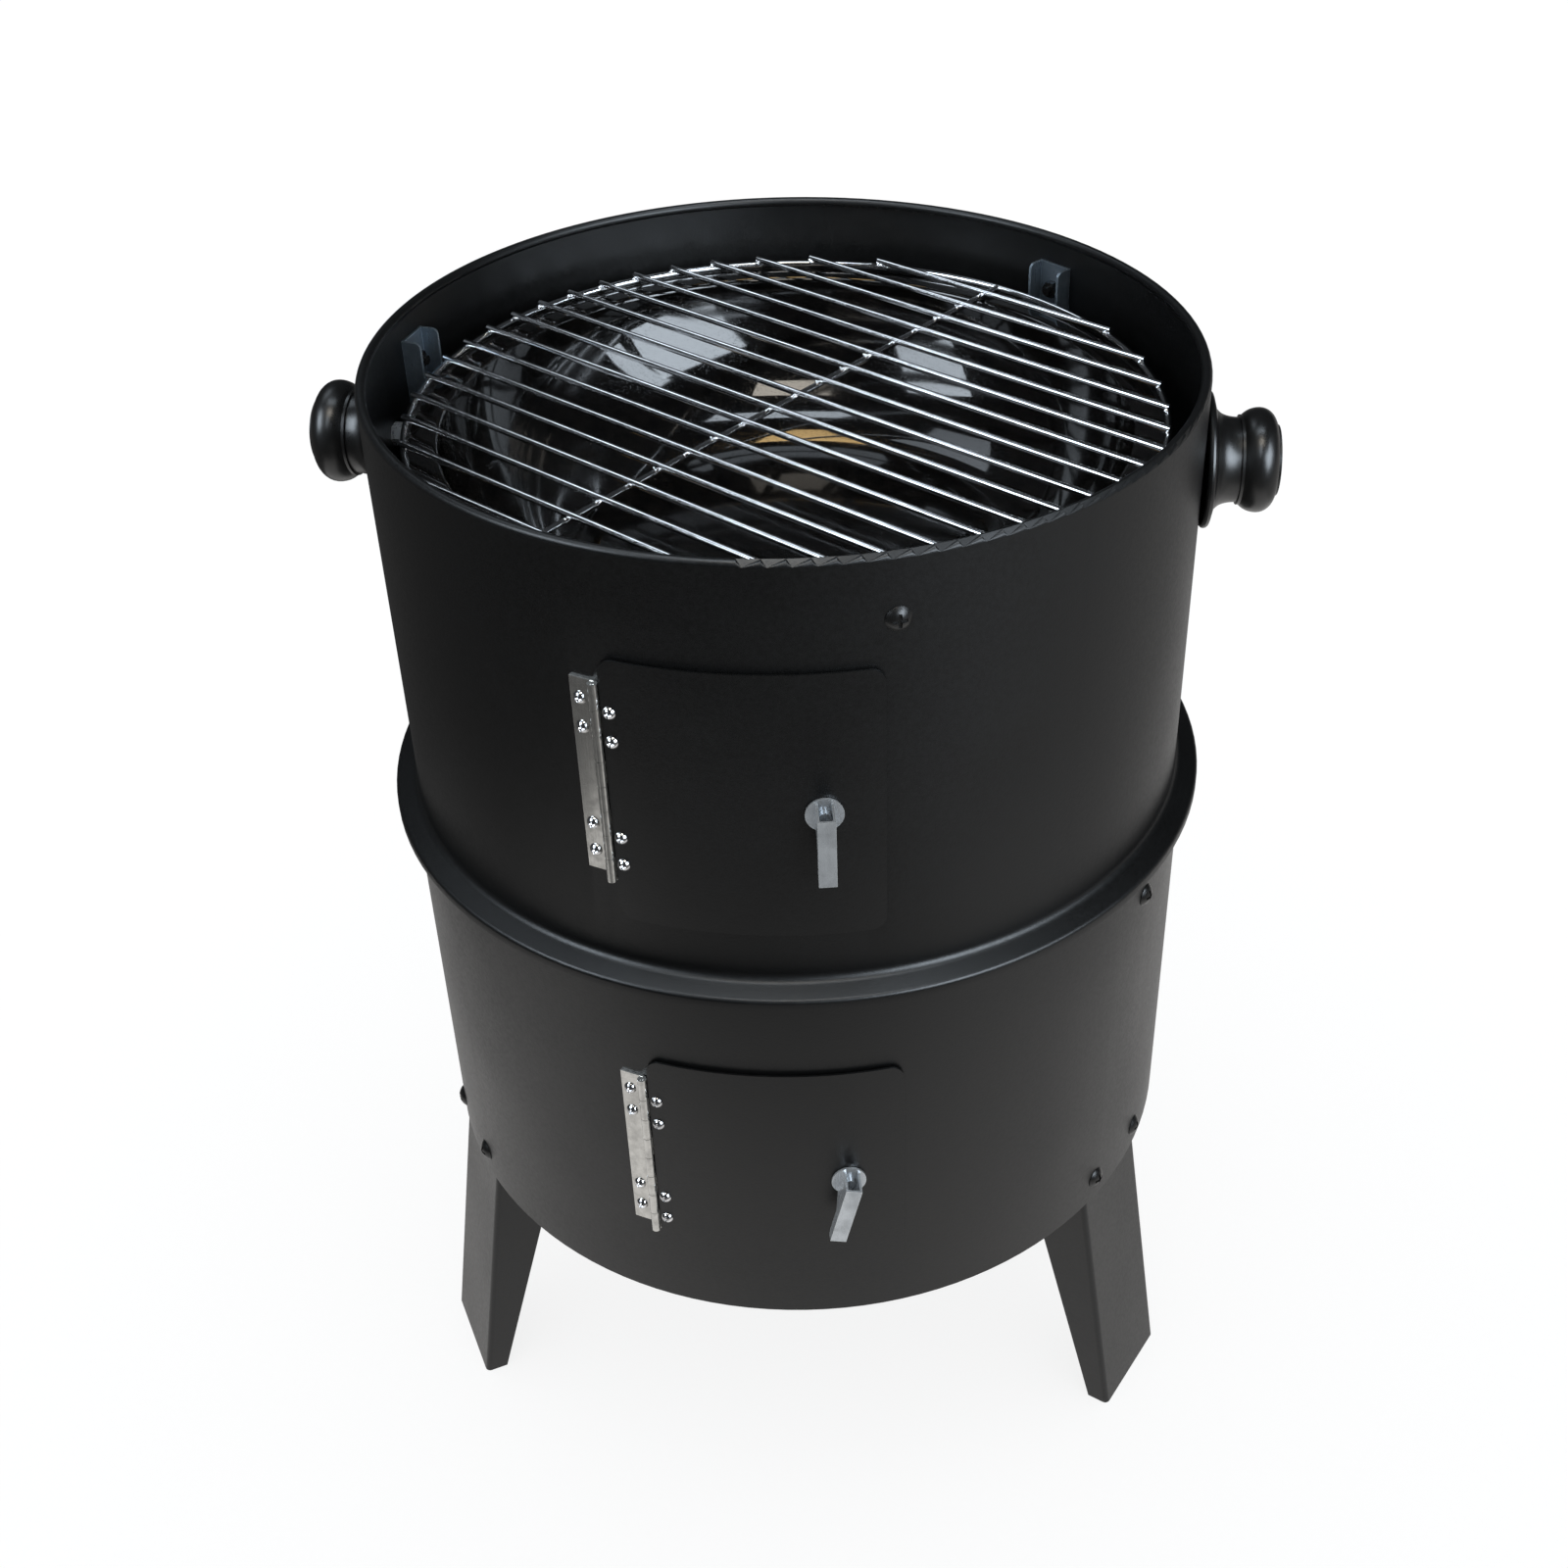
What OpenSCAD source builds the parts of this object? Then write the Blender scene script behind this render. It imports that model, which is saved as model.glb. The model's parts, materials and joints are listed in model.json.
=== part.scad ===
// Vertical water smoker without its lid: two stacked barrels on three legs, each with a hinged
// door, and a bowl and a cooking grate hung inside each barrel.
// +Z is up, z = 0 is the ground, the Z axis is the barrels' axis, and the doors face -Y.
// An azimuth is an angle about Z in degrees: 0 is the front (-Y) and +90 is the right (+X).

/* [Barrels] */
// Height of the lower barrel's bottom edge above the ground
leg_h = 158; // [120:1:200]
// Outer radius of the upper barrel
upper_r = 200; // [190:1:210]
// Outer radius of the lower barrel
lower_r = 204; // [203:0.5:205]
// Thickness of the barrels' sheet metal
wall = 1; // [0.8:0.1:1.2]
// Height of the lower barrel, bottom edge to rolled rim
lower_h = 223; // [215:1:230]
// Height of the upper barrel, skirt edge to rolled rim
upper_h = 227; // [220:1:240]
// Outer radius of the skirt that covers the lower barrel's rim
skirt_r = 212; // [211:0.5:214]
// Angle at which the upper barrel's shoulder falls outwards
shoulder_angle = 16.3; // [12:0.1:20]
// Radius of the bead rolled along each rim
bead_r = 2.4; // [2:0.1:2.6]

/* [Doors] */
// Height of each door
door_h = 139; // [130:1:145]
// Half of the angle that each door covers
door_half_angle = 17.15; // [16:0.05:18]
// Height of the upper door's centre above the lower barrel's bottom edge
upper_door_up = 323.3; // [318:0.1:326]
// Height of the lower door's centre above the lower barrel's bottom edge
lower_door_up = 100.5; // [96:0.5:104]
// Azimuth of the lower door, which sits slightly round from the upper one
lower_door_az = 2; // [-2:0.5:3]
// Overlap of a door over the edges of its opening
door_overlap = 10; // [8:0.5:12]

/* [Hinges] */
// Height of a hinge leaf
leaf_h = 102; // [96:1:106]
// Width of a hinge leaf from the pin to its free edge
leaf_w = 12; // [11:0.5:14]
// Outer radius of a hinge knuckle
knuckle_r = 2.2; // [2:0.1:2.4]
// Radius of a hinge pin
pin_r = 1.1; // [1:0.05:1.2]
// Number of knuckles shared by the two leaves
knuckles = 8; // [6:2:10]

/* [Latches] */
// Angle of each latch spindle round from its door's centre
latch_angle = 9.4; // [8:0.1:10]
// Radius of the disc under a latch lever
latch_disc_r = 8.5; // [8:0.1:10]
// Width of the folded channel that forms a latch lever
lever_w = 8; // [7:0.5:9]
// Depth of that channel at the disc
lever_depth = 12; // [10:0.5:13]
// Reach of a lever below its spindle
lever_reach = 30; // [26:1:34]
// Lean of the lower lever from the vertical at rest
lower_lever_lean = 14; // [0:1:20]

/* [Inside] */
// Height of the upper brackets' seats below the upper barrel's rim
seat_drop = 35.3; // [34:0.1:40]
// Height of the lower brackets' seats below the lower barrel's rim
lower_seat_drop = 34.6; // [34:0.1:40]
// Outer radius of a bowl's flange
bowl_r = 182; // [179:0.5:183]
// Inner radius of a bowl at its flange
bowl_mouth_r = 166.5; // [160:0.5:170]
// Radius of a bowl's flat bottom
bowl_bottom_r = 100; // [90:1:110]
// Depth of a bowl
bowl_depth = 72; // [60:1:80]
// Outer radius of a cooking grate
grate_r = 183.6; // [181:0.1:184]
// Radius of a grate's rods
rod_r = 1.6; // [1.4:0.1:2]
// Number of parallel rods in a cooking grate
rods = 18; // [14:2:20]
// Distance between a cooking grate's rods
rod_pitch = 19.25; // [18.5:0.05:19.5]
// Direction of the upper cooking grate's rods
upper_grate_turn = -34.7; // [-90:0.1:90]
// Azimuths of the upper brackets: front, rear and left
upper_brackets = [18.7, 139.4, 256.8]; // [0:0.1:360]
// Azimuth of the first lower bracket
lower_bracket_az = 64; // [55:1:70]
// Angle from one lower bracket to the next, rearwards
lower_bracket_step = 108; // [100:1:120]

/* [Legs] */
// Azimuth of the two front legs, left and right of the front
leg_az = 62; // [55:1:65]
// Width of a leg's outer plate
leg_w = 61.5; // [55:0.5:64]
// Angle by which each leg splays outwards
leg_splay = 9; // [5:0.5:12]
// Depth of a leg's side flanges at the barrel
leg_flange_top = 34; // [28:1:38]
// Depth of a leg's side flanges at the foot
leg_flange_foot = 12; // [8:1:16]

/* [Knobs] */
// Height of the knobs above the lower barrel's bottom edge
knob_up = 389; // [385:0.5:395]
// Azimuth of the left knob
left_knob_az = -93.5; // [-93.5:0.5:-88]
// Azimuth of the right knob
right_knob_az = 91.5; // [88:0.5:96]
// Radius of a knob's base flange
knob_base_r = 33.2; // [30:0.1:34]
// Radius of a knob's rounded end
knob_end_r = 25.2; // [24:0.1:27]
// Radius of a knob's neck
knob_neck_r = 20.4; // [18:0.1:21]

/* [Hidden] */
$fn = 96;

// Small gap left between pieces that rest on each other
touch = 0.05;
// How far a cutter runs past what it cuts
past = 1;

// Heights
lower_top = leg_h + lower_h;
skirt_z = leg_h + 217.5;
upper_top = skirt_z + upper_h;
upper_door_z = leg_h + upper_door_up;
lower_door_z = leg_h + lower_door_up;
knob_z = leg_h + knob_up;
upper_seat = upper_top - seat_drop;
lower_seat = lower_top - lower_seat_drop;

// Sheet metal
sheet_t = 1.2;
door_t = 1;
leaf_t = 1;
leaf_gap = 0.1;
door_gap = leaf_gap + leaf_t + leaf_gap;
door_out = door_gap + door_t;
bowl_edge_r = 0.9;
bowl_lip_r = 2;
bowl_wall_from = 15;
bowl_crown = 3;
bowl_rise = 2 * (bowl_edge_r + touch);

// Hinges: the pin's place is given by its angle left of the door's centre and its standoff
pin_angle = 18.35;
pin_standoff = knuckle_r + leaf_gap + 0.15;
pin_play = 0.05;
knuckle_gap = 0.35;
leaf_drop = 4;
hinge_len = leaf_h + leaf_drop;
hinge_up = 57;
leaf_clear = knuckle_r + 0.4;
leaf_screw_out = 7.5;
door_screw_out = 6.5;
leaf_screw_drops = [10, 25, 76.5, 91.5];

// Fasteners: shaft radius, head radius, head height
small_screw = [1.6, 3.2, 2.2];
black_bolt = [2.4, 6, 3];
knob_bolt = [3, 6.5, 4];
hole_play = 0.2;
small_nut = [3.2, 2.4];
black_nut = [4.6, 4];
knob_nut = [5.8, 5];

// Latches
disc_t = 1.2;
disc_lift = 0.3;
lever_t = 1;
lever_above = 5;
lever_low_depth = 5.5;
lever_shoulder = 14;
lever_top_slope = 1.5;
lever_corner = [1.5, 3];
spindle_r = 2.5;
spindle_play = 0.06;
tongue_w = 11;
tongue_len = 30;
tongue_t = 1.5;
tongue_sink = 4.6;
tongue_above = 4;
latch_down = 1.5;
latch_nut = [4, 3.2];

// Brackets
bracket_w = 20;
bracket_top = 18.4;
bracket_bottom = 26.5;
bracket_lip = 10;
bracket_reach_r = 174;
bracket_bolt_up = 5.1;
bracket_round = 3;
bracket_nose = 6;
lower_brackets = [for (i = [0:2]) lower_bracket_az + lower_bracket_step * i];

// Legs
leg_t = 1.5;
leg_bend_r = 3;
leg_tab_h = 36;
leg_bolt_angle = 6.5;
leg_bolt_up = 15;
leg_r = sqrt(pow(lower_r - wall, 2) - pow(leg_w / 2, 2)) - 0.2;

// Knobs: places along the knob's axis, measured from its base
knob_azs = [left_knob_az, right_knob_az];
knob_base_t = 5;
knob_len = 35.4;
knob_cap_r = 17;
knob_cap_t = 2.2;
knob_spigot_r = 8.8;
knob_spigot_len = 6;
knob_cap_seat = 1.2;
knob_pocket = 13;

// Grates
weld_sink = 0.4;
rod_short = 0.8;
cross_lift = 0.15;
rod_shift = 3.2;
cross_shift = -5.9;
coal_grate_r = 136;
coal_rods = 12;
coal_pitch = 22;
coal_grate_up = 15;

black_paint = "#1c1c1d";
grey_black = "#2b2b2c";
nickel = "#b9bab8";
zinc = "#9aa2a8";
chrome = "#d8dadb";
phenolic = "#151515";

// ---------- placing ----------

// Frame on a cylinder: x runs round to the right, -y points outwards, z is up
module place(az, r, z) rotate([0, 0, az]) translate([0, -r, z]) children();

// Turns a child's +Z to point outwards in that frame
module outward() rotate([90, 0, 0]) children();

// Angle covered by a length along a circle
function arc_deg(len, r) = len / r * 180 / PI;

// Part of a tube between two azimuths
module sector(r_in, r_out, az_from, az_to, z, h) {
    rotate([0, 0, az_from - 90])
        rotate_extrude(angle = az_to - az_from)
            translate([r_in, z])
                square([r_out - r_in, h]);
}

// Hole through a barrel's wall
module wall_hole(az, z, r_barrel, r_hole) {
    place(az, r_barrel - 15, z) outward() cylinder(r = r_hole, h = 30);
}

// ---------- section drawing ----------

function arc(c, r, from, to, steps) =
    [for (i = [0:steps]) let (a = from + (to - from) * i / steps) c + r * [cos(a), sin(a)]];

function ellipse_arc(c, rx, rz, from, to, steps) =
    [for (i = [0:steps]) let (a = from + (to - from) * i / steps) c + [rx * cos(a), rz * sin(a)]];

function left_of(path, i) =
    let (a = path[max(i - 1, 0)], b = path[min(i + 1, len(path) - 1)], d = (b - a) / norm(b - a))
    [-d[1], d[0]];

function beside(path, by) = [for (i = [0:len(path) - 1]) path[i] + by * left_of(path, i)];

function backwards(path) = [for (i = [len(path) - 1:-1:0]) path[i]];

// Sheet of even thickness along a middle line
module sheet_section(path, t) {
    polygon(concat(beside(path, t / 2), backwards(beside(path, -t / 2))));
}

module rounded_rect(w, h, r) {
    square([w - 2 * r, h], center = true);
    square([w, h - 2 * r], center = true);
    for (x = [-1, 1], y = [-1, 1])
        translate([x * (w / 2 - r), y * (h / 2 - r)])
            circle(r = r);
}

// ---------- fasteners ----------

// Domed cross-recess screw: head above z = 0, shaft below it
module screw(kind, shaft_len) {
    shaft_r = kind[0];
    head_r = kind[1];
    head_h = kind[2];
    dome_r = (head_r * head_r + head_h * head_h) / (2 * head_h);
    slot = head_r * 0.26;
    slot_reach = head_r * 0.55;
    slot_floor = head_h * 0.55;
    difference() {
        union() {
            intersection() {
                translate([0, 0, head_h - dome_r]) sphere(r = dome_r);
                cylinder(r = head_r - 0.1, h = head_h + past);
            }
            translate([0, 0, -shaft_len]) cylinder(r = shaft_r, h = shaft_len + head_h / 2);
        }
        for (turn = [0, 90])
            rotate([0, 0, turn])
                translate([-slot_reach, -slot / 2, slot_floor])
                    cube([2 * slot_reach, slot, head_h]);
    }
}

// Hexagonal nut below z = 0
module nut(size, hole_r) {
    difference() {
        translate([0, 0, -size[1]]) cylinder(r = size[0], h = size[1], $fn = 6);
        translate([0, 0, -size[1] - past]) cylinder(r = hole_r + touch, h = size[1] + 2 * past);
    }
}

// ---------- barrels ----------

function opening_left(r_barrel) = -pin_angle + arc_deg(leaf_clear, r_barrel);
function opening_right(r_barrel) = door_half_angle - arc_deg(door_overlap, r_barrel);

module door_opening(r_barrel, az, z) {
    h = door_h - 2 * door_overlap;
    sector(r_barrel - 5, r_barrel + 5, az + opening_left(r_barrel), az + opening_right(r_barrel),
           z - h / 2, h);
}

module leaf_screw_holes(r_barrel, az, z) {
    for (drop = leaf_screw_drops)
        wall_hole(az - pin_angle - arc_deg(leaf_screw_out, r_barrel), z + hinge_up - drop,
                  r_barrel, small_screw[0] + hole_play);
}

module bracket_holes(r_barrel, azs, seat) {
    for (az = azs)
        wall_hole(az, seat + bracket_bolt_up, r_barrel, black_bolt[0] + hole_play);
}

module lower_barrel() {
    bead_at = lower_r + bead_r - wall - touch;
    color(black_paint)
    difference() {
        rotate_extrude($fn = 180) {
            translate([lower_r - wall, leg_h]) square([wall, lower_h - bead_r]);
            translate([bead_at, lower_top - bead_r]) circle(r = bead_r);
        }
        door_opening(lower_r, lower_door_az, lower_door_z);
        leaf_screw_holes(lower_r, lower_door_az, lower_door_z);
        bracket_holes(lower_r, lower_brackets, lower_seat);
        for (az = [-leg_az, leg_az, 180], side = [-1, 1])
            wall_hole(az + side * leg_bolt_angle, leg_h + leg_bolt_up, lower_r,
                      black_bolt[0] + hole_play);
    }
}

// Middle line of the upper barrel's sheet: skirt, shoulder and wall
function upper_path() =
    let (
        t = wall / 2,
        turn = 90 - shoulder_angle,
        lip_r = 1.8,
        fillet_r = 5,
        lip = [skirt_r - t - lip_r, skirt_z + 3.2],
        lip_end = lip + lip_r * [cos(turn), sin(turn)],
        fillet_x = upper_r - t + fillet_r,
        run = lip_end[0] - (fillet_x - fillet_r * cos(turn)),
        fillet_z = lip_end[1] + run * tan(shoulder_angle) + fillet_r * sin(turn)
    )
    concat(
        [[skirt_r - t, skirt_z]],
        arc(lip, lip_r, 0, turn, 5),
        arc([fillet_x, fillet_z], fillet_r, 180 + turn, 180, 6),
        [[upper_r - t, upper_top - bead_r]]
    );

module upper_barrel() {
    bead_at = upper_r - bead_r - 0.1;
    color(black_paint)
    difference() {
        union() {
            rotate_extrude($fn = 180) sheet_section(upper_path(), wall);
            rotate_extrude($fn = 180) translate([bead_at, upper_top - bead_r]) circle(r = bead_r);
        }
        door_opening(upper_r, 0, upper_door_z);
        leaf_screw_holes(upper_r, 0, upper_door_z);
        bracket_holes(upper_r, upper_brackets, upper_seat);
        for (az = knob_azs)
            wall_hole(az, knob_z, upper_r, knob_bolt[0] + hole_play);
    }
}

// ---------- doors ----------

module door(r_barrel, az, z) {
    mid_r = r_barrel + door_gap;
    edge_right = mid_r * sin(door_half_angle);
    edge_left = (mid_r + door_t) * sin(pin_angle) - leaf_clear;
    corner_r = 7;
    color(black_paint)
    difference() {
        intersection() {
            sector(r_barrel + door_gap, r_barrel + door_out, az - 25, az + 25,
                   z - door_h / 2 - past, door_h + 2 * past);
            place(az, r_barrel - 30, z)
                outward()
                    linear_extrude(height = 60)
                        translate([(edge_right - edge_left) / 2, 0])
                            rounded_rect(edge_right + edge_left, door_h, corner_r);
        }
        wall_hole(az + latch_angle, z - latch_down, r_barrel, spindle_r + spindle_play);
        door_screw_holes(r_barrel, az, z);
    }
}

module door_screw_holes(r_barrel, az, z) {
    for (drop = leaf_screw_drops)
        wall_hole(az - pin_angle + arc_deg(door_screw_out, r_barrel),
                  z + hinge_up - leaf_drop - drop, r_barrel, small_screw[0] + hole_play);
}

module upper_door() door(upper_r, 0, upper_door_z);
module lower_door() door(lower_r, lower_door_az, lower_door_z);

// ---------- hinges ----------

// Knuckles are counted from the top; the barrel's leaf has the even ones
module knuckle(r_barrel, az, z, i) {
    pitch = hinge_len / knuckles;
    place(az - pin_angle, r_barrel + pin_standoff, z + hinge_up - (i + 1) * pitch + knuckle_gap / 2)
        cylinder(r = knuckle_r, h = pitch - knuckle_gap);
}

// Room in a leaf for one of the other leaf's knuckles
module knuckle_notch(r_barrel, az, z, i) {
    pitch = hinge_len / knuckles;
    place(az - pin_angle, r_barrel, z + hinge_up - (i + 1) * pitch - knuckle_gap)
        translate([-leaf_clear, -leaf_gap - leaf_t - past, 0])
            cube([2 * leaf_clear, leaf_gap + leaf_t + 2 * past, pitch + 2 * knuckle_gap]);
}

// side is -1 for the barrel's leaf and +1 for the door's leaf
module hinge_leaf(r_barrel, az, z, side) {
    pin_az = az - pin_angle;
    far = pin_az + side * arc_deg(leaf_w, r_barrel);
    drop = side > 0 ? leaf_drop : 0;
    first = side > 0 ? 1 : 0;
    screw_out = side > 0 ? door_screw_out : leaf_screw_out;
    color(nickel)
    difference() {
        union() {
            difference() {
                sector(r_barrel + leaf_gap, r_barrel + leaf_gap + leaf_t,
                       min(pin_az, far), max(pin_az, far), z + hinge_up - drop - leaf_h, leaf_h);
                for (i = [1 - first:2:knuckles - 1])
                    knuckle_notch(r_barrel, az, z, i);
            }
            for (i = [first:2:knuckles - 1])
                knuckle(r_barrel, az, z, i);
        }
        place(pin_az, r_barrel + pin_standoff, z - door_h)
            cylinder(r = pin_r + pin_play, h = 2 * door_h);
        for (down = leaf_screw_drops)
            wall_hole(pin_az + side * arc_deg(screw_out, r_barrel), z + hinge_up - drop - down,
                      r_barrel, small_screw[0] + hole_play);
    }
}

module hinge_pin(r_barrel, az, z) {
    color(nickel)
    place(az - pin_angle, r_barrel + pin_standoff, z + hinge_up - hinge_len)
        cylinder(r = pin_r, h = hinge_len);
}

// Puts a child at each screw of a leaf, with +Z outwards and z = 0 at the given radius
module at_leaf_screws(r_barrel, az, z, side, r) {
    drop = side > 0 ? leaf_drop : 0;
    screw_out = side > 0 ? door_screw_out : leaf_screw_out;
    for (down = leaf_screw_drops)
        place(az - pin_angle + side * arc_deg(screw_out, r_barrel), r, z + hinge_up - drop - down)
            outward()
                children();
}

module barrel_leaf_screws(r_barrel, az, z) {
    color(chrome)
    at_leaf_screws(r_barrel, az, z, -1, r_barrel + leaf_gap + leaf_t + touch)
        screw(small_screw, 6);
}

module barrel_leaf_nuts(r_barrel, az, z) {
    color(zinc)
    at_leaf_screws(r_barrel, az, z, -1, r_barrel - wall - touch)
        nut(small_nut, small_screw[0]);
}

module door_leaf_screws(r_barrel, az, z) {
    color(chrome)
    at_leaf_screws(r_barrel, az, z, 1, r_barrel + door_out + touch)
        screw(small_screw, 6);
}

module door_leaf_nuts(r_barrel, az, z) {
    color(zinc)
    at_leaf_screws(r_barrel, az, z, 1, r_barrel + leaf_gap - touch)
        nut(small_nut, small_screw[0]);
}

module upper_hinge_barrel_leaf() hinge_leaf(upper_r, 0, upper_door_z, -1);
module upper_hinge_door_leaf() hinge_leaf(upper_r, 0, upper_door_z, 1);
module upper_hinge_pin() hinge_pin(upper_r, 0, upper_door_z);
module upper_hinge_barrel_screws() barrel_leaf_screws(upper_r, 0, upper_door_z);
module upper_hinge_barrel_nuts() barrel_leaf_nuts(upper_r, 0, upper_door_z);
module upper_hinge_door_screws() door_leaf_screws(upper_r, 0, upper_door_z);
module upper_hinge_door_nuts() door_leaf_nuts(upper_r, 0, upper_door_z);
module lower_hinge_barrel_leaf() hinge_leaf(lower_r, lower_door_az, lower_door_z, -1);
module lower_hinge_door_leaf() hinge_leaf(lower_r, lower_door_az, lower_door_z, 1);
module lower_hinge_pin() hinge_pin(lower_r, lower_door_az, lower_door_z);
module lower_hinge_barrel_screws() barrel_leaf_screws(lower_r, lower_door_az, lower_door_z);
module lower_hinge_barrel_nuts() barrel_leaf_nuts(lower_r, lower_door_az, lower_door_z);
module lower_hinge_door_screws() door_leaf_screws(lower_r, lower_door_az, lower_door_z);
module lower_hinge_door_nuts() door_leaf_nuts(lower_r, lower_door_az, lower_door_z);

// ---------- latches ----------

// Frame of a latch: origin on the door's outer face, -y outwards, turned by the lever's lean
module on_latch(r_barrel, az, z, lean) {
    place(az + latch_angle, r_barrel + door_out, z - latch_down)
        rotate([0, lean, 0])
            children();
}

// Side outline of a lever's flanges: x is outwards from the door, y is up
module lever_side() {
    disc_face = disc_lift + disc_t;
    out = disc_face + lever_depth;
    low = out - lever_low_depth;
    polygon([
        [disc_face, lever_above + lever_top_slope], [out, lever_above], [out, -lever_reach],
        [low + lever_corner[0], -lever_reach], [low, -lever_reach + lever_corner[1]],
        [low, -lever_shoulder], [disc_face, -latch_disc_r + lever_t]
    ]);
}

module latch_lever() {
    out = disc_lift + disc_t + lever_depth;
    color(zinc)
    difference() {
        rotate([90, 0, -90])
            translate([0, 0, -lever_w / 2])
                linear_extrude(height = lever_w)
                    lever_side();
        translate([-lever_w / 2 + lever_t, -out + lever_t, -lever_reach - past])
            cube([lever_w - 2 * lever_t, out, lever_reach + 2 * lever_above]);
    }
}

module latch_disc() {
    color(zinc)
    outward()
        difference() {
            translate([0, 0, disc_lift]) cylinder(r = latch_disc_r, h = disc_t - touch);
            translate([0, 0, -past]) cylinder(r = spindle_r + touch, h = disc_t + 3 * past);
        }
}

// Spindle with a round head inside the lever's channel
module latch_spindle() {
    head_r = lever_w / 2 - lever_t - hole_play;
    head_h = 2.5;
    tail = door_out + wall + tongue_sink + tongue_t + latch_nut[1] + past;
    color(zinc)
    outward() {
        translate([0, 0, -tail]) cylinder(r = spindle_r, h = tail + disc_lift + disc_t + head_h / 2);
        translate([0, 0, disc_lift + disc_t]) cylinder(r = head_r, h = head_h);
    }
}

module latch_tongue() {
    depth = door_out + wall + tongue_sink;
    color(zinc)
    translate([0, depth, 0])
        rotate([90, 0, 0])
            translate([0, 0, -tongue_t])
                linear_extrude(height = tongue_t)
                    difference() {
                        union() {
                            circle(r = tongue_w / 2);
                            translate([-tongue_w / 2, tongue_above - tongue_len])
                                square([tongue_w, tongue_len - tongue_above]);
                            translate([0, tongue_w / 2 - tongue_len]) circle(r = tongue_w / 2);
                        }
                        circle(r = spindle_r + touch);
                    }
}

module latch_nut_piece() {
    depth = door_out + wall + tongue_sink + tongue_t + touch;
    color(zinc)
    translate([0, depth, 0]) outward() nut(latch_nut, spindle_r);
}

module on_upper_latch() on_latch(upper_r, 0, upper_door_z, 0) children();
module on_lower_latch() on_latch(lower_r, lower_door_az, lower_door_z, lower_lever_lean) children();

module upper_latch_lever() on_upper_latch() latch_lever();
module upper_latch_disc() on_upper_latch() latch_disc();
module upper_latch_spindle() on_upper_latch() latch_spindle();
module upper_latch_tongue() on_upper_latch() latch_tongue();
module upper_latch_nut() on_upper_latch() latch_nut_piece();
module lower_latch_lever() on_lower_latch() latch_lever();
module lower_latch_disc() on_lower_latch() latch_disc();
module lower_latch_spindle() on_lower_latch() latch_spindle();
module lower_latch_tongue() on_lower_latch() latch_tongue();
module lower_latch_nut() on_lower_latch() latch_nut_piece();

// ---------- brackets ----------

// Side outline of a bracket's flanges: x is inwards from the wall, y is up from the seat
module bracket_side(reach) {
    round_at = [bracket_lip - bracket_round, bracket_top - bracket_round];
    polygon(concat(
        [[0, bracket_top]],
        arc(round_at, bracket_round, 90, 0, 6),
        [[bracket_lip, 0], [reach, 0], [reach, -bracket_nose]],
        [[bracket_lip, -bracket_bottom], [0, -bracket_bottom]]
    ));
}

module bracket(r_barrel, az, seat) {
    inner_r = r_barrel - wall;
    back = sqrt(inner_r * inner_r - bracket_w * bracket_w / 4) - touch;
    reach = back - bracket_reach_r;
    color(zinc)
    place(az, back, seat)
        difference() {
            rotate([90, 0, 90])
                translate([0, 0, -bracket_w / 2])
                    linear_extrude(height = bracket_w)
                        bracket_side(reach);
            translate([-bracket_w / 2 + sheet_t, sheet_t, -bracket_bottom - past])
                cube([bracket_w - 2 * sheet_t, reach + past, bracket_top + bracket_bottom + 2 * past]);
            translate([0, sheet_t + past, bracket_bolt_up])
                outward()
                    cylinder(r = black_bolt[0] + hole_play, h = sheet_t + 2 * past);
        }
}

module bracket_bolts(r_barrel, azs, seat) {
    color(black_paint)
    for (az = azs)
        place(az, r_barrel + touch, seat + bracket_bolt_up)
            outward()
                screw(black_bolt, 9);
}

module bracket_nuts(r_barrel, azs, seat) {
    inner_r = r_barrel - wall;
    back = sqrt(inner_r * inner_r - bracket_w * bracket_w / 4) - touch;
    color(grey_black)
    for (az = azs)
        place(az, back - sheet_t - touch, seat + bracket_bolt_up)
            outward()
                nut(black_nut, black_bolt[0]);
}

module upper_bracket_front() bracket(upper_r, upper_brackets[0], upper_seat);
module upper_bracket_rear() bracket(upper_r, upper_brackets[1], upper_seat);
module upper_bracket_left() bracket(upper_r, upper_brackets[2], upper_seat);
module upper_bracket_bolts() bracket_bolts(upper_r, upper_brackets, upper_seat);
module upper_bracket_nuts() bracket_nuts(upper_r, upper_brackets, upper_seat);
module lower_bracket_right() bracket(lower_r, lower_brackets[0], lower_seat);
module lower_bracket_rear() bracket(lower_r, lower_brackets[1], lower_seat);
module lower_bracket_left() bracket(lower_r, lower_brackets[2], lower_seat);
module lower_bracket_bolts() bracket_bolts(lower_r, lower_brackets, lower_seat);
module lower_bracket_nuts() bracket_nuts(lower_r, lower_brackets, lower_seat);

// ---------- bowls and grates ----------

// Middle line of a bowl's sheet, from its flange to the middle of its raised bottom
function bowl_path(z) =
    let (wide = (bowl_mouth_r - bowl_bottom_r) / cos(bowl_wall_from),
         tall = (bowl_depth - bowl_lip_r) / (1 - sin(bowl_wall_from)))
    concat(
        [[bowl_r - bowl_edge_r, z]],
        arc([bowl_mouth_r + bowl_lip_r, z - bowl_lip_r], bowl_lip_r, 90, 169, 4),
        ellipse_arc([bowl_bottom_r, z - bowl_depth + tall], wide, tall, -bowl_wall_from, -90, 16),
        [[bowl_bottom_r - 4, z - bowl_depth + bowl_crown], [0, z - bowl_depth + bowl_crown]]
    );

module bowl(seat) {
    z = seat + bowl_edge_r + touch;
    color("#0b0b0c") {
        rotate_extrude($fn = 180) sheet_section(bowl_path(z), sheet_t);
        rotate_extrude($fn = 180) translate([bowl_r - bowl_edge_r, z]) circle(r = bowl_edge_r, $fn = 24);
    }
}

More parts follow.
